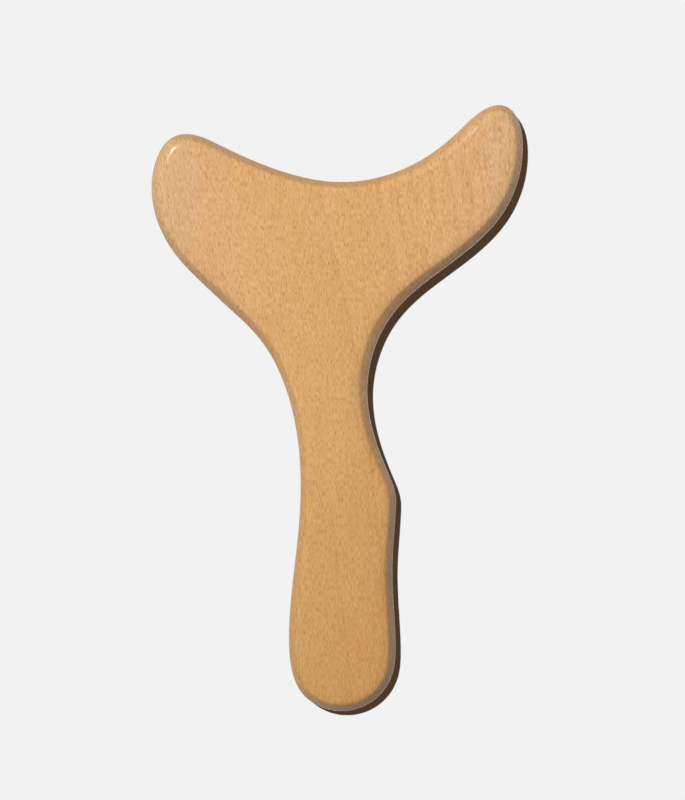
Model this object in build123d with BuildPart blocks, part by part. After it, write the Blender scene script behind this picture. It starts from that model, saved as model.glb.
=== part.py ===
"""Gua sha scraper: a flat body-massage tool cut from one board of beech.

The head has a broad lobe on the left, a slimmer and taller horn on the right, and a concave crescent
between them. A curved neck runs into the handle, which has a finger swell on its right side and a round
butt. Both faces are flat, and the whole rim is rounded over.

The outline is laid out in the handle's frame: X is the reach from the handle's centre line, Y the level
above the butt's end. The finished piece lies on its lower face, with its origin at the bottom centre of
its box, +Y towards the head and +Z up. Lengths are in millimetres and angles in degrees.
"""

import os

from build123d import *

# --- Board ---
thickness = 12.0  # flat face to flat face
edge_radius = 5.7  # round-over of the rim, the same on both faces

# --- Butt: one arc round the end of the handle ---
butt_radius = 19.4
butt_offset = 0.4  # the arc's centre lies left of the centre line
butt_left_turn = 38.0  # how far round the arc runs from the butt's end
butt_right_turn = 66.0

# --- Handle, right-hand side, each level measured from the one before it ---
flank_rise, flank_reach = 25.5, 19.2  # widest point beside the butt
waist_rise, waist_reach = 27.5, 18.1  # slight waist below the finger swell
swell_rise, swell_reach = 23.0, 19.4  # crest of the finger swell
swell_radius = 18.1
swell_lead = 2.0  # the swell's arc starts this much before its crest
swell_lean = 20.0  # and ends leaning in by this much
slope_rise, slope_reach = 14.0, 15.1  # foot of the slope above the swell
neck_rise, neck_reach = 27.7, 9.0  # deepest point of the neck

# --- Handle, left-hand side, each level measured from the one before it ---
bulge_rise, bulge_reach = 27.0, 19.5  # widest point beside the butt
taper_rise, taper_reach = 24.5, 17.6  # middle of the taper
hollow_rise, hollow_reach = 28.0, 15.3  # hollow for the palm

# --- Crescent, from the neck's level ---
crescent_rise = 74.4  # neck to the crescent's lowest point
crescent_offset = 1.0  # that point lies left of the centre line
crescent_right_run, crescent_right_rise = 23.5, 4.9  # lowest point to the right-hand quarter
crescent_left_run, crescent_left_rise = 23.2, 4.6  # lowest point to the left-hand quarter

# --- Horn, the right-hand wing ---
horn_tip_radius = 6.7
horn_tip_reach = 56.7  # centre line to the centre of the tip's arc
horn_tip_rise = 21.2  # crescent to the centre of the tip's arc
horn_tip_start, horn_tip_turn = 40.0, 60.0  # where the arc starts past upright, and how far it turns
horn_dip_run, horn_dip_drop = 14.5, 2.7  # tip's centre to where the rim turns into the crescent
horn_side_run, horn_side_drop = 8.7, 8.3  # tip's centre to the outermost point
horn_cheek_rise, horn_cheek_reach = 62.6, 57.9  # neck's level to the middle of the outer curve
horn_belly_rise, horn_belly_reach = 42.4, 36.0  # neck's level to where the underside turns outwards
horn_pit_rise, horn_pit_reach = 26.4, 18.2  # neck's level to the middle of the curve under the horn

# --- Lobe, the left-hand wing ---
lobe_tip_radius = 10.2
lobe_tip_reach = 56.8
lobe_tip_rise = 7.2
lobe_tip_start, lobe_tip_turn = 87.0, 60.0
lobe_dip_run, lobe_dip_rise = 12.8, 5.9  # tip's centre to where the rim turns into the crescent
lobe_side_run, lobe_side_drop = 12.55, 9.3
lobe_cheek_rise, lobe_cheek_reach = 53.0, 64.0
lobe_belly_rise, lobe_belly_reach = 39.2, 52.55  # upper end of the straight run under the lobe
lobe_belly_length, lobe_belly_slope = 16.0, 43.0
lobe_pit_rise, lobe_pit_reach = 18.6, 30.7  # neck's level to the start of the curve under the lobe
lobe_bend_rise, lobe_bend_reach = 8.5, 24.35  # neck's level to the middle of that curve
lobe_neck_drop, lobe_neck_reach = 14.3, 17.1  # below the neck's level, where the curve meets the handle

# --- Levels and centres worked out from the sizes above ---
waist_level = flank_rise + waist_rise
swell_level = waist_level + swell_rise
slope_level = swell_level + slope_rise
neck_level = slope_level + neck_rise
taper_level = bulge_rise + taper_rise
hollow_level = taper_level + hollow_rise
crescent_level = neck_level + crescent_rise
horn_tip = Vector(horn_tip_reach, crescent_level + horn_tip_rise)
lobe_tip = Vector(-lobe_tip_reach, crescent_level + lobe_tip_rise)
crescent_low = Vector(-crescent_offset, crescent_level)

# The rim is followed anticlockwise from the butt. Each spline leaves one arc or line and meets the next
# along its direction, at its own natural speed.
NATURAL_SPEED = (1, 1)

with BuildSketch() as outline:
    with BuildLine():
        butt = CenterArc(
            (-butt_offset, butt_radius), butt_radius, -90 - butt_left_turn, butt_left_turn + butt_right_turn
        )
        swell = CenterArc(
            (swell_reach - swell_radius, swell_level), swell_radius, -swell_lead, swell_lead + swell_lean
        )
        horn_nose = CenterArc(horn_tip, horn_tip_radius, horn_tip_start, horn_tip_turn)
        lobe_nose = CenterArc(lobe_tip, lobe_tip_radius, lobe_tip_start, lobe_tip_turn)
        lobe_belly = PolarLine(
            (-lobe_belly_reach, neck_level + lobe_belly_rise), lobe_belly_length, -lobe_belly_slope
        )
        Spline(
            butt @ 1,
            (flank_reach, flank_rise),
            (waist_reach, waist_level),
            swell @ 0,
            tangents=(butt % 1, swell % 0),
            tangent_scalars=NATURAL_SPEED,
        )
        Spline(
            swell @ 1,
            (slope_reach, slope_level),
            (neck_reach, neck_level),
            (horn_pit_reach, neck_level + horn_pit_rise),
            (horn_belly_reach, neck_level + horn_belly_rise),
            (horn_cheek_reach, neck_level + horn_cheek_rise),
            horn_tip + Vector(horn_side_run, -horn_side_drop),
            horn_nose @ 0,
            tangents=(swell % 1, horn_nose % 0),
            tangent_scalars=NATURAL_SPEED,
        )
        Spline(
            horn_nose @ 1,
            horn_tip + Vector(-horn_dip_run, -horn_dip_drop),
            crescent_low + Vector(crescent_right_run, crescent_right_rise),
            crescent_low,
            crescent_low + Vector(-crescent_left_run, crescent_left_rise),
            lobe_tip + Vector(lobe_dip_run, lobe_dip_rise),
            lobe_nose @ 0,
            tangents=(horn_nose % 1, lobe_nose % 0),
            tangent_scalars=NATURAL_SPEED,
        )
        Spline(
            lobe_nose @ 1,
            lobe_tip + Vector(-lobe_side_run, -lobe_side_drop),
            (-lobe_cheek_reach, neck_level + lobe_cheek_rise),
            lobe_belly @ 0,
            tangents=(lobe_nose % 1, lobe_belly % 0),
            tangent_scalars=NATURAL_SPEED,
        )
        Spline(
            lobe_belly @ 1,
            (-lobe_pit_reach, neck_level + lobe_pit_rise),
            (-lobe_bend_reach, neck_level + lobe_bend_rise),
            (-lobe_neck_reach, neck_level - lobe_neck_drop),
            (-hollow_reach, hollow_level),
            (-taper_reach, taper_level),
            (-bulge_reach, bulge_rise),
            butt @ 0,
            tangents=(lobe_belly % 1, butt % 0),
            tangent_scalars=NATURAL_SPEED,
        )
    make_face()

box_centre = outline.sketch.bounding_box().center()

with BuildPart() as scraper_body:
    with BuildSketch(Plane((-box_centre.X, -box_centre.Y, 0))):
        add(outline.sketch)
    extrude(amount=thickness)
    rim_edges = scraper_body.faces().filter_by(Axis.Z).edges()
    # Two round-overs never use up the whole wall between the faces.
    fillet(rim_edges, radius=min(edge_radius, 0.48 * thickness))

scraper_body.part.label = "scraper_body"
os.makedirs("parts", exist_ok=True)
export_step(scraper_body.part, "parts/scraper_body.step")

size = scraper_body.part.bounding_box().size
volume_cm3 = scraper_body.part.volume / 1000
print(f"scraper_body: {size.X:.1f} x {size.Y:.1f} x {size.Z:.1f} mm, {volume_cm3:.1f} cm3")
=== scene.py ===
"""Gua sha scraper: the dressed model of a flat body-massage tool cut from one board of beech.

The body is modelled afresh over the solid, with the same outline and thickness. Its rim has a
leaning flank, a soft shoulder and the small unevenness of hand sanding, and the wood is plain beech
under a clear lacquer. Lengths are in metres, except in the wood's pattern, which is laid out in
millimetres.
"""

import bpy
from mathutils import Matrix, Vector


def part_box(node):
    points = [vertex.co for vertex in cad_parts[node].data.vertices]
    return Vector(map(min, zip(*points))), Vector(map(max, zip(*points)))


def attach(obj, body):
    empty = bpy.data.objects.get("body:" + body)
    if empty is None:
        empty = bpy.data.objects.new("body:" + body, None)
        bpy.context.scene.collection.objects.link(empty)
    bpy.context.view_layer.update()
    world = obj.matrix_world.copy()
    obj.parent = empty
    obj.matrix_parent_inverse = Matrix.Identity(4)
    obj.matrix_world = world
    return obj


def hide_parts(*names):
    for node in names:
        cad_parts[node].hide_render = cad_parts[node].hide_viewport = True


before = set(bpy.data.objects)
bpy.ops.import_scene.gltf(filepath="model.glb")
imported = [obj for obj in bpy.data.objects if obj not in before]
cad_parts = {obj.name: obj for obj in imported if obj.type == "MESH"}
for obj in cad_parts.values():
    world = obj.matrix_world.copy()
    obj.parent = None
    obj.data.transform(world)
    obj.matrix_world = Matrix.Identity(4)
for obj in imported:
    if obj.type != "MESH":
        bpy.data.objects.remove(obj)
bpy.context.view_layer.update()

import math

import bmesh
import bpy
from bpy.props import FloatProperty, FloatVectorProperty, PointerProperty
from mathutils import Vector

bl_info = {
    "name": "Gua sha scraper",
    "version": (1, 0, 0),
    "blender": (4, 5, 0),
    "location": "View3D > Sidebar > Scraper",
    "description": "Models a beech gua sha scraper and lays it on a pale table",
    "category": "Object",
}

NODE = "scraper_body"
RIDES_ON = "root"
BOARD = "lacquered_board"
MM = 0.001
SAME_POINT = 0.001 * MM
TOLERANCE = 0.01 * MM

low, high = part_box(NODE)
half_thickness = (high.z - low.z) / 2
mid_height = low.z + half_thickness


# --- Sizes and colours that a user may change ---

class ScraperRim(bpy.types.PropertyGroup):
    """How the rim of the board is rounded and sanded."""

    spacing: FloatProperty(
        name="Spacing", description="Distance between the points along the rim",
        default=0.8 * MM, min=0.2 * MM, unit="LENGTH",
    )
    handle_nose: FloatProperty(
        name="Nose, handle",
        description="Height of the nearly upright nose above the handle's outermost line",
        default=0.9 * MM, min=0.0, unit="LENGTH",
    )
    handle_flank: FloatProperty(
        name="Flank, handle", description="Slope of the leaning flank on the handle",
        default=math.radians(64.5), subtype="ANGLE",
    )
    head_nose: FloatProperty(
        name="Nose, head",
        description="Height of the nearly upright nose above the head's outermost line",
        default=1.75 * MM, min=0.0, unit="LENGTH",
    )
    head_flank: FloatProperty(
        name="Flank, head", description="Slope of the leaning flank on the head",
        default=math.radians(58.5), subtype="ANGLE",
    )
    handle_end: FloatProperty(
        name="Handle end", description="Level up to which the rim has the handle's section",
        default=-35 * MM, unit="LENGTH",
    )
    head_start: FloatProperty(
        name="Head start", description="Level from which the rim has the head's section",
        default=-5 * MM, unit="LENGTH",
    )
    nose_slope: FloatProperty(
        name="Nose slope", description="Slope at which the nose passes into the corner",
        default=math.radians(79), subtype="ANGLE",
    )
    corner_radius: FloatProperty(
        name="Corner radius", description="Radius between the nose and the flank",
        default=1.2 * MM, min=0.0, unit="LENGTH",
    )
    flank_crown: FloatProperty(
        name="Flank crown", description="How much the slope changes over the flank",
        default=math.radians(8), subtype="ANGLE",
    )
    shoulder_radius: FloatProperty(
        name="Shoulder radius", description="Radius between the flank and the brow",
        default=2.0 * MM, min=0.0, unit="LENGTH",
    )
    shoulder_slope: FloatProperty(
        name="Shoulder slope", description="Slope at which the shoulder passes into the brow",
        default=math.radians(18), subtype="ANGLE",
    )
    brow_radius: FloatProperty(
        name="Brow radius", description="Radius of the wide soft curve next to the flat face",
        default=8.9 * MM, min=0.0, unit="LENGTH",
    )
    fade_slope: FloatProperty(
        name="Fade slope", description="Slope at which the brow fades into the flat face",
        default=math.radians(3), subtype="ANGLE",
    )
    fade_width: FloatProperty(
        name="Fade width", description="Width over which the brow fades into the flat face",
        default=1.0 * MM, min=0.0, unit="LENGTH",
    )
    face_square: FloatProperty(
        name="Face square", description="Side of the squares that the flat faces are divided into",
        default=6.0 * MM, min=1.0 * MM, unit="LENGTH",
    )
    sanding: FloatProperty(
        name="Sanding", description="Mean width of the round-over, as a share of its full width",
        default=1.03, min=0.5, max=1.3,
    )
    sanding_right: FloatProperty(
        name="Sanding, right", description="How much broader the round-over is on the right",
        default=0.09, min=0.0, max=0.3,
    )
    sanding_head: FloatProperty(
        name="Sanding, head", description="How much narrower the round-over is towards the head",
        default=0.08, min=0.0, max=0.3,
    )
    sanding_hollow: FloatProperty(
        name="Sanding, hollow",
        description="How much broader the round-over is in the hollow under the horn",
        default=0.35, min=0.0, max=0.6,
    )
    hollow_place: FloatVectorProperty(
        name="Hollow", description="Middle of the hollow under the horn",
        default=(20 * MM, 30 * MM), size=2, unit="LENGTH",
    )
    hollow_reach: FloatProperty(
        name="Hollow reach", description="How far from its middle the hollow reaches",
        default=30.0 * MM, min=1.0 * MM, unit="LENGTH",
    )
    bend_place: FloatVectorProperty(
        name="Bend", description="Middle of the bend under the broad lobe, which is sanded softer",
        default=(-29 * MM, 27 * MM), size=2, unit="LENGTH",
    )
    bend_reach: FloatProperty(
        name="Bend reach", description="How far from its middle the bend is eased",
        default=15.0 * MM, min=1.0 * MM, unit="LENGTH",
    )


class BeechFinish(bpy.types.PropertyGroup):
    """Colours of the beech and its lacquer, with some painted shade and sheen."""

    wood: FloatVectorProperty(
        name="Wood", description="Colour of the plain wood",
        default=(0.831, 0.492, 0.224), min=0.0, max=1.0, subtype="COLOR",
    )
    fleck: FloatVectorProperty(
        name="Fleck", description="Colour of the small rays in the wood",
        default=(0.48, 0.22, 0.065), min=0.0, max=1.0, subtype="COLOR",
    )
    # Partly paler wood and partly a painted sheen of the lamp on the lacquer, at the ends of lobe
    # and horn
    wing_and_sheen: FloatVectorProperty(
        name="Wing", description="Paler colour of the wood at the ends of lobe and horn",
        default=(0.816, 0.527, 0.281), min=0.0, max=1.0, subtype="COLOR",
    )
    # Painted shade: the wood turns darker towards the handle's end, standing in for the lamp's
    # light falling off there
    butt_painted_shade: FloatVectorProperty(
        name="Butt tint", description="Tint that comes into the wood towards the handle's end",
        default=(0.795, 0.745, 0.62), min=0.0, max=1.0, subtype="COLOR",
    )
    cloud_tint: FloatVectorProperty(
        name="Cloud tint", description="Tint of the wide soft clouds in the wood",
        default=(0.97, 0.95, 0.92), min=0.0, max=1.0, subtype="COLOR",
    )
    ring_tint: FloatVectorProperty(
        name="Ring tint", description="Tint of the growth rings at their full depth",
        default=(0.8, 0.75, 0.66), min=0.0, max=1.0, subtype="COLOR",
    )
    ring_shade: FloatProperty(
        name="Ring shade", description="Depth of the slow shade across each growth ring",
        default=0.22, min=0.0, max=1.0, subtype="FACTOR",
    )
    ring_line: FloatProperty(
        name="Ring line", description="Depth of the line at the end of each growth ring",
        default=0.15, min=0.0, max=1.0, subtype="FACTOR",
    )
    streak_tint: FloatVectorProperty(
        name="Streak tint", description="Tint of the long streaks in the whole board",
        default=(0.95, 0.93, 0.9), min=0.0, max=1.0, subtype="COLOR",
    )
    right_streak_tint: FloatVectorProperty(
        name="Streak tint, right",
        description="Tint that the streaks gain on the right of the board",
        default=(0.96, 0.94, 0.9), min=0.0, max=1.0, subtype="COLOR",
    )
    fibre_tint: FloatVectorProperty(
        name="Fibre tint", description="Tint of the fine fibres",
        default=(0.84, 0.79, 0.7), min=0.0, max=1.0, subtype="COLOR",
    )
    end_tint: FloatVectorProperty(
        name="End-grain tint", description="Tint of the rim where it cuts across the fibres",
        default=(0.78, 0.72, 0.62), min=0.0, max=1.0, subtype="COLOR",
    )
    roughness: FloatProperty(
        name="Roughness", description="Roughness of the wood under the lacquer",
        default=0.45, min=0.0, max=1.0, subtype="FACTOR",
    )
    lacquer_roughness: FloatProperty(
        name="Lacquer roughness", description="Roughness of the lacquer",
        default=0.2, min=0.0, max=1.0, subtype="FACTOR",
    )
    lacquer_index: FloatProperty(
        name="Lacquer index", description="Index of refraction of the lacquer",
        default=1.38, min=1.0, max=2.0,
    )
    worn_left: FloatProperty(
        name="Worn, left", description="Share of the lacquer worn off the flat face on the left",
        default=0.73, min=0.0, max=1.0, subtype="FACTOR",
    )
    worn_more: FloatProperty(
        name="Worn, more",
        description="How much more of it is worn off from the middle to the right",
        default=0.18, min=0.0, max=1.0, subtype="FACTOR",
    )
    wave_height: FloatProperty(
        name="Wave height", description="Height of the small waves in the surface",
        default=0.05 * MM, min=0.0, unit="LENGTH",
    )


class TableStage(bpy.types.PropertyGroup):
    """Table, lamp and camera."""

    table: FloatVectorProperty(
        name="Table", description="Colour of the table top",
        default=(0.888, 0.888, 0.888), min=0.0, max=1.0, subtype="COLOR",
    )
    lamp_tilt: FloatProperty(
        name="Lamp tilt", description="Angle of the lamp off the vertical",
        default=math.radians(23), subtype="ANGLE",
    )
    lamp_turn: FloatProperty(
        name="Lamp turn", description="Direction of the lamp round the scraper, from the right",
        default=math.radians(135.5), subtype="ANGLE",
    )
    lamp_spread: FloatProperty(
        name="Lamp spread", description="Angle over which the lamp is seen from the table",
        default=math.radians(1.6), min=0.0, subtype="ANGLE",
    )
    level: FloatProperty(
        name="Level", description="Brightness at which a white table would show",
        default=1.0, min=0.0,
    )
    fill: FloatVectorProperty(
        name="Fill",
        description="Light that comes softly from all round, warm from the wood and the room",
        default=(0.084, 0.046, 0.024), min=0.0, max=1.0, subtype="COLOR",
    )
    bounce: FloatProperty(
        name="Bounce", description="Share of the table's colour that lights the scraper from below",
        default=0.36, min=0.0, max=1.0, subtype="FACTOR",
    )
    lens: FloatProperty(
        name="Lens", description="Focal length of the camera in millimetres",
        default=200.0, min=1.0, unit="CAMERA",
    )
    view_height: FloatProperty(
        name="View height", description="Height of the camera's frame on the board",
        default=0.29042, unit="LENGTH",
    )
    view_right: FloatProperty(
        name="View, right", description="Middle of the frame, right of the board's middle",
        default=0.00194, unit="LENGTH",
    )
    view_up: FloatProperty(
        name="View, up", description="Middle of the frame, above the board's middle",
        default=0.00293, unit="LENGTH",
    )


# --- Helpers for the pieces ---

def activate(piece):
    """Leaves one piece selected and active."""
    bpy.ops.object.select_all(action="DESELECT")
    piece.select_set(True)
    bpy.context.view_layer.objects.active = piece


def edit_all(piece):
    """Opens a piece in edit mode with all of it selected."""
    activate(piece)
    bpy.ops.object.mode_set(mode="EDIT")
    bpy.ops.mesh.select_all(action="SELECT")


def leave_edit():
    """Goes back to object mode."""
    bpy.ops.object.mode_set(mode="OBJECT")


def loop_points(mesh):
    """The points of a mesh that is one closed line, in order, seen from above."""
    beside = {vertex.index: [] for vertex in mesh.vertices}
    for edge in mesh.edges:
        first, second = edge.vertices
        beside[first].append(second)
        beside[second].append(first)
    if any(len(ends) != 2 for ends in beside.values()):
        raise RuntimeError("the rim isn't one closed line")
    order = [0]
    before, here = beside[0][0], 0
    while True:
        onward = beside[here][1] if beside[here][0] == before else beside[here][0]
        if onward == 0:
            break
        order.append(onward)
        before, here = here, onward
    return [mesh.vertices[index].co.xy for index in order]


def even_loop(points, spacing):
    """Points at even distances along a closed line of points, anticlockwise."""
    area = sum(a.cross(b) for a, b in zip(points, points[1:] + points[:1]))
    if area < 0:
        points = points[::-1]
    lengths = [(b - a).length for a, b in zip(points, points[1:] + points[:1])]
    count = round(sum(lengths) / spacing)
    step = sum(lengths) / count
    even = []
    travelled, index = 0.0, 0
    for number in range(count):
        target = number * step
        while travelled + lengths[index] < target:
            travelled += lengths[index]
            index += 1
        share = (target - travelled) / lengths[index]
        even.append(points[index].lerp(points[(index + 1) % len(points)], share))
    return even


def nearness(point, place, reach):
    """1 at a place, and less further off."""
    return math.exp(-((point - Vector(place)).length / reach) ** 2)


def smoothed(points, step):
    """A closed line whose points have moved towards the middle of their neighbours.

    The step is a function of the point, and gives the share of that way.
    """
    beside = zip(points[-1:] + points[:-1], points, points[1:] + points[:1])
    return [
        here + ((before + after) / 2 - here) * step(here)
        for before, here, after in beside
    ]


def fair_loop(points, passes=10):
    """A closed line without its small ripples. Each pass smooths it and lets it out again."""
    smooth_in, let_out = 0.5, -0.52
    for _ in range(passes):
        points = smoothed(points, lambda here: smooth_in)
        points = smoothed(points, lambda here: let_out)
    return points


def ease_bend(points, place, reach, passes=100):
    """A closed line with its bend near a place made softer."""
    full_step = 0.5
    for _ in range(passes):
        points = smoothed(points, lambda here: full_step * nearness(here, place, reach))
    return points


def rim_line(spacing):
    """The board's outline as evenly spaced points, from the top of the node's upright wall."""
    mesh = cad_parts[NODE].data.copy()
    line = bpy.data.objects.new("rim_line", mesh)
    bpy.context.scene.collection.objects.link(line)
    upright_limit = 0.001
    curve_steps = 16
    wall = [face for face in mesh.polygons if abs(face.normal.z) < upright_limit]
    wall_top = max(mesh.vertices[index].co.z for face in wall for index in face.vertices)
    edit_all(line)
    bpy.ops.mesh.remove_doubles(threshold=SAME_POINT)
    bpy.ops.mesh.select_all(action="SELECT")
    bpy.ops.mesh.bisect(
        plane_co=(0, 0, wall_top), plane_no=(0, 0, 1), clear_inner=True, clear_outer=True,
        threshold=TOLERANCE,
    )
    leave_edit()
    bpy.ops.object.convert(target="CURVE")
    bpy.ops.object.mode_set(mode="EDIT")
    bpy.ops.curve.select_all(action="SELECT")
    bpy.ops.curve.spline_type_set(type="BEZIER")
    bpy.ops.curve.handle_type_set(type="AUTOMATIC")
    leave_edit()
    line.data.resolution_u = curve_steps
    bpy.ops.object.convert(target="MESH")
    points = fair_loop(even_loop(loop_points(line.data), spacing))
    bpy.ops.object.delete()
    for point in points:
        point.x = min(max(point.x, low.x), high.x)
        point.y = min(max(point.y, low.y), high.y)
    return points


def rim_profile(rim, nose_height, flank_slope):
    """(inset, height) steps of the rim, from its outermost line up to the flat face.

    The section is five arcs, each tangent to the next: nose, corner, flank, shoulder and brow. A
    short fade joins the brow to the face. The flank takes the height that the others leave of the
    board's half thickness.
    """
    def rise(start, end):
        """Height that an arc of radius 1 gains between two slopes."""
        return math.cos(end) - math.cos(start)

    upright = math.radians(90)
    flank_start = flank_slope + rim.flank_crown / 2
    flank_end = flank_slope - rim.flank_crown / 2
    nose_radius = nose_height / rise(upright, rim.nose_slope)
    corner_height = rim.corner_radius * rise(rim.nose_slope, flank_start)
    shoulder_height = rim.shoulder_radius * rise(flank_end, rim.shoulder_slope)
    brow_height = rim.brow_radius * rise(rim.shoulder_slope, rim.fade_slope)
    fade_height = rim.fade_width * math.tan(rim.fade_slope / 2)
    others = nose_height + corner_height + shoulder_height + brow_height + fade_height
    flank_radius = (half_thickness - others) / rise(flank_start, flank_end)
    # For each arc: its radius, the slopes at its start and end, and its number of steps
    arcs = [
        (nose_radius, upright, rim.nose_slope, 5),
        (rim.corner_radius, rim.nose_slope, flank_start, 3),
        (flank_radius, flank_start, flank_end, 3),
        (rim.shoulder_radius, flank_end, rim.shoulder_slope, 8),
        (rim.brow_radius, rim.shoulder_slope, rim.fade_slope, 5),
    ]
    steps = [(0.0, 0.0)]
    for radius, start, end, count in arcs:
        base_inset, base_height = steps[-1]
        for number in range(1, count + 1):
            slope = start + (end - start) * number / count
            inset = base_inset + radius * (math.sin(start) - math.sin(slope))
            height = base_height + radius * rise(start, slope)
            steps.append((inset, height))
    steps.append((steps[-1][0] + rim.fade_width, half_thickness))
    return steps


def head_share(rim, point, normal):
    """How much the rim at a point has the head's section, which its left side has all along."""
    share = (point.y - rim.handle_end) / (rim.head_start - rim.handle_end)
    share = min(max(share, 0.0), 1.0)
    softened = share ** 2 * (3 - 2 * share)
    return max(softened, -normal.x)


def sanding_share(rim, point, normal):
    """How wide the round-over is at a point of the rim, as a share of its full width."""
    in_hollow = max(normal.x, 0.0) * nearness(point, rim.hollow_place, rim.hollow_reach)
    share = rim.sanding + rim.sanding_right * normal.x - rim.sanding_head * normal.y
    return share + rim.sanding_hollow * in_hollow


def rim_normals(points):
    """The outward direction at each point of a closed anticlockwise line."""
    neighbours = zip(points[-1:] + points[:-1], points[1:] + points[:1])
    along = [after - before for before, after in neighbours]
    return [Vector((step.y, -step.x)).normalized() for step in along]


def divide_face(piece, level, square):
    """Cuts the flat face at that height into squares. The piece is open in edit mode."""
    for axis, across in ((0, (1, 0, 0)), (1, (0, 1, 0))):
        count = int((high[axis] - low[axis]) / square)
        for number in range(1, count + 1):
            shape = bmesh.from_edit_mesh(piece.data)
            for face in shape.faces:
                flat = all(abs(vertex.co.z - level) < SAME_POINT for vertex in face.verts)
                face.select_set(flat)
            bmesh.update_edit_mesh(piece.data)
            cut = low[axis] + number * square
            bpy.ops.mesh.bisect(plane_co=(cut, cut, level), plane_no=across)


def mark_facing(piece):
    """Stores how far each point faces along the grain, and how far it faces up or down."""
    end_grain = piece.data.attributes.new("end_grain", "FLOAT", "POINT")
    flatness = piece.data.attributes.new("flatness", "FLOAT", "POINT")
    for vertex in piece.data.vertices:
        end_grain.data[vertex.index].value = vertex.normal.y ** 2
        flatness.data[vertex.index].value = abs(vertex.normal.z)


class SCRAPER_OT_body(bpy.types.Operator):
    """Model the board: outline, rounded rim, flat faces"""

    bl_idname = "scraper.body"
    bl_label = "Body"
    bl_options = {"REGISTER", "UNDO"}

    def execute(self, context):
        rim = context.scene.scraper_rim
        outline = ease_bend(rim_line(rim.spacing), rim.bend_place, rim.bend_reach)
        outward = rim_normals(outline)
        rim_places = [
            (point, normal, head_share(rim, point, normal), sanding_share(rim, point, normal))
            for point, normal in zip(outline, outward)
        ]
        handle_steps = rim_profile(rim, rim.handle_nose, rim.handle_flank)
        head_steps = rim_profile(rim, rim.head_nose, rim.head_flank)

        bpy.ops.object.select_all(action="DESELECT")
        bpy.ops.mesh.primitive_circle_add(
            vertices=len(outline), radius=half_thickness, fill_type="NGON"
        )
        body = context.object
        body.name = BOARD
        for vertex, point in zip(body.data.vertices, outline):
            vertex.co = (point.x, point.y, 0.0)

        edit_all(body)
        bpy.ops.mesh.select_mode(type="FACE")
        first_inset, first_height = handle_steps[1]
        for handle_step, head_step in zip(handle_steps[1:], head_steps[1:]):
            # The inset makes the new ring of points, and each is then set on its own section
            bpy.ops.mesh.inset(thickness=first_inset, depth=first_height)
            shape = bmesh.from_edit_mesh(body.data)
            face = next(face for face in shape.faces if face.select)
            for vertex, (point, normal, head, sanding) in zip(face.verts, rim_places):
                inset, height = Vector(handle_step).lerp(Vector(head_step), head)
                sanded = point - normal * (inset * sanding)
                vertex.co = (sanded.x, sanded.y, height)
            bmesh.update_edit_mesh(body.data)
        divide_face(body, half_thickness, rim.face_square)
        leave_edit()

        mirror = body.modifiers.new("lower half", "MIRROR")
        mirror.use_axis = (False, False, True)
        mirror.use_clip = True
        mirror.merge_threshold = TOLERANCE
        bpy.ops.object.modifier_apply(modifier=mirror.name)
        edit_all(body)
        bpy.ops.mesh.normals_make_consistent(inside=False)
        bpy.ops.transform.translate(value=(0, 0, mid_height))
        leave_edit()
        bpy.ops.object.shade_smooth()
        mark_facing(body)
        # Keeps the board's brown off the table beside it
        body.visible_diffuse = False
        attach(body, RIDES_ON)
        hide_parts(NODE)
        return {"FINISHED"}


# --- The wood ---

def add_node(tree, kind, inputs=None, **settings):
    """Adds a node. Each input is a plain value or another node's output."""
    node = tree.nodes.new(kind)
    for name, value in settings.items():
        setattr(node, name, value)
    for key, value in (inputs or {}).items():
        if isinstance(value, bpy.types.NodeSocket):
            tree.links.new(value, node.inputs[key])
        else:
            node.inputs[key].default_value = value
    return node


def calculate(tree, operation, *values):
    """The result of a Math node."""
    return add_node(tree, "ShaderNodeMath", dict(enumerate(values)), operation=operation).outputs[0]


def fade(tree, value, start, end):
    """0 before start and 1 after end, with a soft change between them."""
    limits = {"Value": value, "From Min": start, "From Max": end}
    node = add_node(tree, "ShaderNodeMapRange", limits, interpolation_type="SMOOTHSTEP")
    return node.outputs["Result"]


def separate(tree, vector):
    """The X, Y and Z of a vector."""
    return add_node(tree, "ShaderNodeSeparateXYZ", {0: vector}).outputs


def noise(tree, vector, size, detail):
    """Soft noise whose size across, along and into the wood is in millimetres."""
    frequency = tuple(1 / length for length in size)
    scaled = add_node(
        tree, "ShaderNodeVectorMath", {0: vector, 1: frequency}, operation="MULTIPLY"
    ).outputs[0]
    settings = {"Vector": scaled, "Scale": 1.0, "Detail": detail}
    return add_node(tree, "ShaderNodeTexNoise", settings).outputs["Fac"]


def blend(tree, share, first, second, mode="MIX"):
    """Two colours mixed by a share, which may be a value or another node's output."""
    node = add_node(tree, "ShaderNodeMix", data_type="RGBA", blend_type=mode)
    for name, value in (("Factor_Float", share), ("A_Color", first), ("B_Color", second)):
        socket = next(socket for socket in node.inputs if socket.identifier == name)
        if isinstance(value, bpy.types.NodeSocket):
            tree.links.new(value, socket)
        else:
            socket.default_value = value
    return next(socket for socket in node.outputs if socket.identifier == "Result_Color")


def tinted(tree, share, colour, tint):
    """The colour with a tint multiplied in by a share."""
    return blend(tree, share, colour, (*tint, 1.0), "MULTIPLY")


def new_group(name, inputs, outputs):
    """An empty shader group, and its named inputs (with their defaults) and outputs."""
    group = bpy.data.node_groups.new(name, "ShaderNodeTree")
    for socket, kind, default in inputs:
        made = group.interface.new_socket(name=socket, in_out="INPUT", socket_type=kind)
        if default is not None:
            made.default_value = default
    for socket, kind in outputs:
        group.interface.new_socket(name=socket, in_out="OUTPUT", socket_type=kind)
    group_inputs = group.nodes.new("NodeGroupInput").outputs
    group_outputs = group.nodes.new("NodeGroupOutput").inputs
    return group, group_inputs, group_outputs


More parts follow.
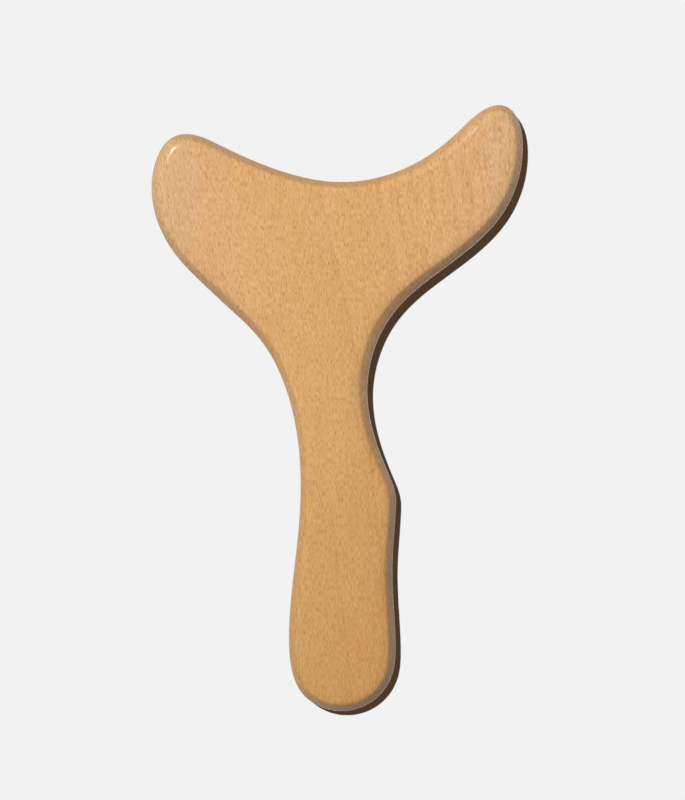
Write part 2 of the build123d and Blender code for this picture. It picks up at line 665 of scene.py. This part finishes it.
def grain_group():
    """The lie of the grain: how far a point is across, along and into the wood, by its fibres.

    The fibres run nearly straight up the handle, and lean to the left through the head, most of all
    in the broad lobe.
    """
    group, inputs, outputs = new_group(
        "lie of the grain",
        [
            ("Vector", "NodeSocketVector", None),
            ("Handle lean", "NodeSocketFloat", 0.035),
            ("Head lean", "NodeSocketFloat", 0.1),
            ("Lean change", "NodeSocketFloat", -0.0013),
            ("Head level", "NodeSocketFloat", 20.0),
            ("Turn length", "NodeSocketFloat", 60.0),
        ],
        [("Vector", "NodeSocketVector")],
    )
    place = separate(group, inputs["Vector"])
    above = calculate(group, "SUBTRACT", place["Y"], inputs["Head level"])
    in_head = calculate(group, "SMOOTH_MAX", above, 0.0, inputs["Turn length"])
    lean = calculate(group, "MULTIPLY_ADD", place["X"], inputs["Lean change"], inputs["Head lean"])
    across = calculate(group, "MULTIPLY_ADD", place["Y"], inputs["Handle lean"], place["X"])
    across = calculate(group, "MULTIPLY_ADD", lean, in_head, across)
    joined = add_node(
        group, "ShaderNodeCombineXYZ", {"X": across, "Y": place["Y"], "Z": place["Z"]}
    ).outputs[0]
    group.links.new(joined, outputs["Vector"])
    return group


def fleck_group():
    """Small spindles along the grain, such as rays seen end-on. Sizes are in millimetres."""
    group, inputs, outputs = new_group(
        "flecks",
        [
            ("Vector", "NodeSocketVector", None),
            ("Spacing", "NodeSocketVector", (0.37, 2.2, 3.0)),
            ("Size", "NodeSocketFloat", 0.33),
            ("Smallest", "NodeSocketFloat", 0.4),
            ("Softness", "NodeSocketFloat", 0.4),
            ("Faintest", "NodeSocketFloat", 0.2),
        ],
        [("Mask", "NodeSocketFloat")],
    )
    cells = add_node(
        group, "ShaderNodeVectorMath", {0: inputs["Vector"], 1: inputs["Spacing"]},
        operation="DIVIDE",
    ).outputs[0]
    spots = add_node(
        group, "ShaderNodeTexVoronoi", {"Vector": cells, "Scale": 1.0, "Randomness": 1.0},
        voronoi_dimensions="3D",
    ).outputs
    chance = add_node(group, "ShaderNodeSeparateColor", {0: spots["Color"]}).outputs
    size = calculate(group, "ADD", chance["Red"], inputs["Smallest"])
    reach = calculate(group, "MULTIPLY", inputs["Size"], size)
    hardness = calculate(group, "SUBTRACT", 1.0, inputs["Softness"])
    core = calculate(group, "MULTIPLY", reach, hardness)
    inside = calculate(group, "SUBTRACT", 1.0, fade(group, spots["Distance"], core, reach))
    range_left = calculate(group, "SUBTRACT", 1.0, inputs["Faintest"])
    strength = calculate(group, "MULTIPLY_ADD", chance["Green"], range_left, inputs["Faintest"])
    mask = calculate(group, "MULTIPLY", inside, strength)
    group.links.new(mask, outputs["Mask"])
    return group


def ring_group():
    """Growth rings: wide on the left of the board and narrow on its right, in millimetres.

    The shade rises slowly through each ring and falls off at its end, where a thin dark line lies.
    """
    group, inputs, outputs = new_group(
        "growth rings",
        [
            ("Vector", "NodeSocketVector", None),
            ("Place", "NodeSocketVector", None),
            ("Wide ring", "NodeSocketFloat", 17.9),
            ("Narrow ring", "NodeSocketFloat", 5.4),
            ("First line", "NodeSocketFloat", 10.8),
            ("Lean", "NodeSocketFloat", 0.1),
            ("Lean change", "NodeSocketFloat", -0.0015),
            ("Dip", "NodeSocketFloat", 0.7),
            ("Face level", "NodeSocketFloat", high.z / MM),
            ("Waver", "NodeSocketFloat", 3.0),
            ("Shade rise", "NodeSocketFloat", 2.0),
            ("Line start", "NodeSocketFloat", 0.9),
            ("Line full", "NodeSocketFloat", 0.99),
        ],
        [("Shade", "NodeSocketFloat"), ("Line", "NodeSocketFloat")],
    )
    fibre = separate(group, inputs["Vector"])
    place = separate(group, inputs["Place"])
    lean = calculate(group, "MULTIPLY_ADD", place["X"], inputs["Lean change"], inputs["Lean"])
    across = calculate(group, "MULTIPLY_ADD", lean, place["Y"], fibre["X"])
    below = calculate(group, "SUBTRACT", place["Z"], inputs["Face level"])
    across = calculate(group, "MULTIPLY_ADD", below, inputs["Dip"], across)
    waver_scale = 0.03
    chance = add_node(
        group, "ShaderNodeTexNoise",
        {"Vector": inputs["Vector"], "Scale": waver_scale, "Detail": 1.0},
    ).outputs["Fac"]
    either_way = calculate(group, "SUBTRACT", chance, 0.5)
    across = calculate(group, "MULTIPLY_ADD", either_way, inputs["Waver"], across)
    from_first = calculate(group, "SUBTRACT", across, inputs["First line"])
    wide = calculate(group, "DIVIDE", from_first, inputs["Wide ring"])
    past_wide = calculate(group, "SUBTRACT", from_first, inputs["Wide ring"])
    narrow = calculate(group, "DIVIDE", past_wide, inputs["Narrow ring"])
    narrow = calculate(group, "ADD", narrow, 1.0)
    age = calculate(group, "FRACT", calculate(group, "MAXIMUM", wide, narrow))
    shade = calculate(group, "POWER", age, inputs["Shade rise"])
    line = fade(group, age, inputs["Line start"], inputs["Line full"])
    group.links.new(shade, outputs["Shade"])
    group.links.new(line, outputs["Line"])
    return group


def wood_colour(tree, finish, board_place, fibre_place):
    """The colour of the beech, from the place on the board and among its fibres, with painted shade
    and sheen.
    """
    cloud_size = (14.0, 33.0, 20.0)
    streak_size = (0.9, 12.0, 3.0)
    fibre_size = (0.27, 2.0, 0.8)
    # Levels of the noise between which its tint fades in
    soft_levels = (0.3, 0.7)
    streak_levels = (0.4, 0.7)
    rings = add_node(
        tree, "ShaderNodeGroup", {"Vector": fibre_place, "Place": board_place},
        node_tree=ring_group(),
    ).outputs
    rays = add_node(
        tree, "ShaderNodeGroup", {"Vector": fibre_place}, node_tree=fleck_group()
    ).outputs
    board = separate(tree, board_place)
    across_fibres = separate(tree, fibre_place)["X"]

    # Each change fades in between two lines on the board, in millimetres from its middle
    sheen_in_wings = fade(tree, calculate(tree, "ABSOLUTE", board["X"]), 15.0, 75.0)
    shade_towards_butt = fade(tree, board["Y"], 90.0, -150.0)
    ringed = fade(tree, across_fibres, -14.0, 8.0)
    on_the_right = fade(tree, board["X"], -10.0, 45.0)

    # The wings are paler wood with a painted sheen of the lamp's reflection over them
    colour = blend(tree, sheen_in_wings, (*finish.wood, 1.0), (*finish.wing_and_sheen, 1.0))
    # Painted shade, darker towards the butt where the lamp's light falls off
    colour = tinted(tree, shade_towards_butt, colour, finish.butt_painted_shade)
    clouds = fade(tree, noise(tree, fibre_place, cloud_size, detail=2.0), *soft_levels)
    colour = tinted(tree, clouds, colour, finish.cloud_tint)
    for ring_part, depth in (("Shade", finish.ring_shade), ("Line", finish.ring_line)):
        share = calculate(tree, "MULTIPLY", rings[ring_part], depth)
        share = calculate(tree, "MULTIPLY", share, ringed)
        colour = tinted(tree, share, colour, finish.ring_tint)
    streaks = fade(tree, noise(tree, fibre_place, streak_size, detail=2.0), *streak_levels)
    colour = tinted(tree, streaks, colour, finish.streak_tint)
    right_streaks = calculate(tree, "MULTIPLY", streaks, on_the_right)
    colour = tinted(tree, right_streaks, colour, finish.right_streak_tint)
    fibres = fade(tree, noise(tree, fibre_place, fibre_size, detail=0.0), *soft_levels)
    colour = tinted(tree, fibres, colour, finish.fibre_tint)
    colour = blend(tree, rays["Mask"], colour, (*finish.fleck, 1.0))
    end_grain = add_node(tree, "ShaderNodeAttribute", attribute_name="end_grain").outputs["Fac"]
    return tinted(tree, end_grain, colour, finish.end_tint)


def lacquer_weight(tree, finish, board_place):
    """How much lacquer shows: all of it on the rim, less on the flat face, least on its right."""
    flatness = add_node(tree, "ShaderNodeAttribute", attribute_name="flatness").outputs["Fac"]
    rim_flatness, face_flatness = 0.7, 0.95
    lobe_line, middle_line = -50.0, 0.0
    on_face = fade(tree, flatness, rim_flatness, face_flatness)
    across_board = separate(tree, board_place)["X"]
    from_the_left = fade(tree, across_board, lobe_line, middle_line)
    worn = calculate(tree, "MULTIPLY_ADD", from_the_left, finish.worn_more, finish.worn_left)
    lost = calculate(tree, "MULTIPLY", on_face, worn)
    return calculate(tree, "SUBTRACT", 1.0, lost)


def beech_material(finish):
    """Clear-lacquered beech."""
    wave_size = (1.5, 4.0, 3.0)
    material = bpy.data.materials.new("lacquered beech")
    material.use_nodes = True
    tree = material.node_tree
    shader = tree.nodes["Principled BSDF"]
    position = add_node(tree, "ShaderNodeTexCoord").outputs["Object"]
    board_place = add_node(
        tree, "ShaderNodeMapping", {"Vector": position, "Scale": (1 / MM, 1 / MM, 1 / MM)}
    ).outputs[0]
    fibre_place = add_node(
        tree, "ShaderNodeGroup", {"Vector": board_place}, node_tree=grain_group()
    ).outputs[0]

    colour = wood_colour(tree, finish, board_place, fibre_place)
    tree.links.new(colour, shader.inputs["Base Color"])
    shader.inputs["Roughness"].default_value = finish.roughness
    shader.inputs["IOR"].default_value = 1.5
    shader.inputs["Specular IOR Level"].default_value = 0.0
    tree.links.new(lacquer_weight(tree, finish, board_place), shader.inputs["Coat Weight"])
    shader.inputs["Coat Roughness"].default_value = finish.lacquer_roughness
    shader.inputs["Coat IOR"].default_value = finish.lacquer_index
    height = noise(tree, fibre_place, wave_size, detail=1.0)
    waves = add_node(
        tree, "ShaderNodeBump",
        {"Height": height, "Distance": finish.wave_height, "Strength": 1.0},
    ).outputs[0]
    tree.links.new(waves, shader.inputs["Normal"])
    return material


class SCRAPER_OT_finish(bpy.types.Operator):
    """Give the board its lacquered beech"""

    bl_idname = "scraper.finish"
    bl_label = "Beech finish"
    bl_options = {"REGISTER", "UNDO"}

    def execute(self, context):
        board = context.scene.objects[BOARD]
        board.data.materials.clear()
        board.data.materials.append(beech_material(context.scene.beech_finish))
        return {"FINISHED"}


# --- Table, lamp and camera ---

def table_material(stage):
    """A pale matt table top.

    It throws less light up at the scraper than it shows, and the lacquer mirrors it evenly lit.
    """
    material = bpy.data.materials.new("table")
    material.use_nodes = True
    tree = material.node_tree
    shader = tree.nodes["Principled BSDF"]
    rays = add_node(tree, "ShaderNodeLightPath").outputs
    dimmed = (*(channel * stage.bounce for channel in stage.table), 1.0)
    colour = blend(tree, rays["Is Diffuse Ray"], (*stage.table, 1.0), dimmed)
    black = (0.0, 0.0, 0.0, 1.0)
    colour = blend(tree, rays["Is Glossy Ray"], colour, black)
    tree.links.new(colour, shader.inputs["Base Color"])
    shader.inputs["Roughness"].default_value = 1.0
    shader.inputs["Specular IOR Level"].default_value = 0.0
    # Painted reflection: seen in the lacquer the table glows with its own colour, evenly and
    # without the scraper's shadow
    shader.inputs["Emission Color"].default_value = (*stage.table, 1.0)
    tree.links.new(rays["Is Glossy Ray"], shader.inputs["Emission Strength"])
    return material


def light_world(scene, stage):
    """Soft light from all round, with the table's colour behind the scene."""
    world = bpy.data.worlds.new("studio")
    world.use_nodes = True
    scene.world = world
    tree = world.node_tree
    background = tree.nodes["Background"]
    rays = add_node(tree, "ShaderNodeLightPath").outputs
    dark_studio = (0.02, 0.02, 0.02, 1.0)
    around = blend(tree, rays["Is Diffuse Ray"], dark_studio, (*stage.fill, 1.0))
    around = blend(tree, rays["Is Camera Ray"], around, (*stage.table, 1.0))
    tree.links.new(around, background.inputs["Color"])
    background.inputs["Strength"].default_value = 1.0


class SCRAPER_OT_stage(bpy.types.Operator):
    """Add the table, the lamp and the camera"""

    bl_idname = "scraper.stage"
    bl_label = "Stage"
    bl_options = {"REGISTER", "UNDO"}

    def execute(self, context):
        scene = context.scene
        stage = scene.table_stage
        clear_of_face = 0.02 * MM
        table_side = 40.0
        table_level = low.z - clear_of_face
        bpy.ops.object.select_all(action="DESELECT")
        bpy.ops.mesh.primitive_plane_add(size=table_side, location=(0, 0, table_level))
        table = context.object
        table.name = "table"
        table.data.materials.append(table_material(stage))

        towards_lamp = Vector((
            math.sin(stage.lamp_tilt) * math.cos(stage.lamp_turn),
            math.sin(stage.lamp_tilt) * math.sin(stage.lamp_turn),
            math.cos(stage.lamp_tilt),
        ))
        bpy.ops.object.light_add(type="SUN", location=towards_lamp)
        lamp = context.object
        lamp.name = "lamp"
        lamp.rotation_euler = towards_lamp.to_track_quat("Z", "Y").to_euler()
        lamp.data.angle = stage.lamp_spread
        # Lamp and fill together show a white table at the level
        lamp.data.color = [stage.level - share for share in stage.fill]
        lamp.data.energy = math.pi / math.cos(stage.lamp_tilt)
        light_world(scene, stage)

        bpy.ops.object.camera_add(rotation=(0, 0, 0))
        camera = context.object
        camera.name = "camera"
        camera.data.lens = stage.lens
        camera.data.sensor_width = 36.0
        distance = stage.view_height * camera.data.lens / camera.data.sensor_width
        camera.location = (stage.view_right, stage.view_up, mid_height + distance)
        scene.camera = camera
        scene.view_settings.view_transform = "Standard"
        return {"FINISHED"}


# --- Panel and run ---

class SCRAPER_PT_panel(bpy.types.Panel):
    """The scraper's operators, in order"""

    bl_idname = "SCRAPER_PT_panel"
    bl_label = "Gua sha scraper"
    bl_space_type = "VIEW_3D"
    bl_region_type = "UI"
    bl_category = "Scraper"

    def draw(self, context):
        scene = context.scene
        for settings, operator in (
            (scene.scraper_rim, "scraper.body"),
            (scene.beech_finish, "scraper.finish"),
            (scene.table_stage, "scraper.stage"),
        ):
            box = self.layout.box()
            for name in settings.__annotations__:
                box.prop(settings, name)
            box.operator(operator)


CLASSES = (
    ScraperRim,
    BeechFinish,
    TableStage,
    SCRAPER_OT_body,
    SCRAPER_OT_finish,
    SCRAPER_OT_stage,
    SCRAPER_PT_panel,
)


def register():
    """Makes the panel, the operators and their settings known to Blender."""
    for kind in CLASSES:
        bpy.utils.register_class(kind)
    bpy.types.Scene.scraper_rim = PointerProperty(type=ScraperRim)
    bpy.types.Scene.beech_finish = PointerProperty(type=BeechFinish)
    bpy.types.Scene.table_stage = PointerProperty(type=TableStage)


def unregister():
    """Takes them away again."""
    del bpy.types.Scene.table_stage
    del bpy.types.Scene.beech_finish
    del bpy.types.Scene.scraper_rim
    for kind in reversed(CLASSES):
        bpy.utils.unregister_class(kind)


def main():
    """Models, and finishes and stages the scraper."""
    register()
    bpy.ops.scraper.body()
    bpy.ops.scraper.finish()
    bpy.ops.scraper.stage()


if __name__ == "__main__":
    main()
